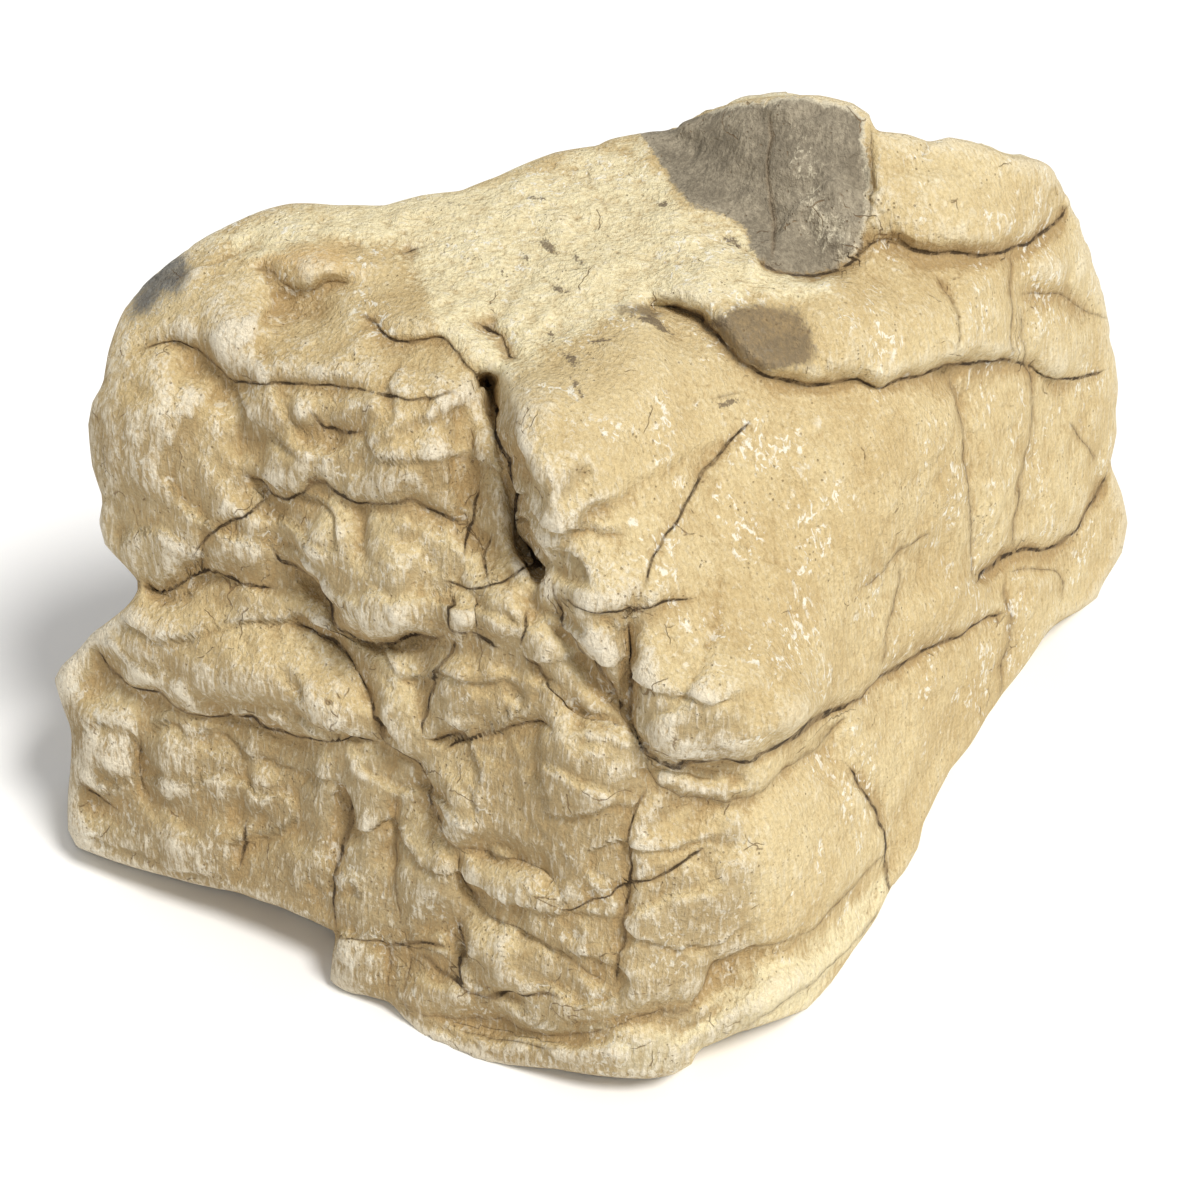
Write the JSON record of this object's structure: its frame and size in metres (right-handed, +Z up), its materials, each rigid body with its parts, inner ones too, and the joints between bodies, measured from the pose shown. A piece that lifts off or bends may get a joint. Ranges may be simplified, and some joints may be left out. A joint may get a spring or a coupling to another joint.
{
  "type": "aquascaping rock",
  "caption": "Blocky, jointed, weathered stone with a leaning slab face, worn cracks and a broken crusted top, standing on a flat bed; a hardscape piece for planted tanks.",
  "frame": {"origin": "middle of the bounding box's bottom face, on the flat bed that the stone stands on", "axes": "+Z up from the bed; -Y towards the front corner between the left and the right face; +X to the right as seen from the front"},
  "size_m": [0.2768, 0.2038, 0.1936],
  "materials": {
    "tan_stone": "matt, weathered limestone"
  },
  "bodies": {
    "root": {"rock": "tan_stone"}
  },
  "joints": []
}
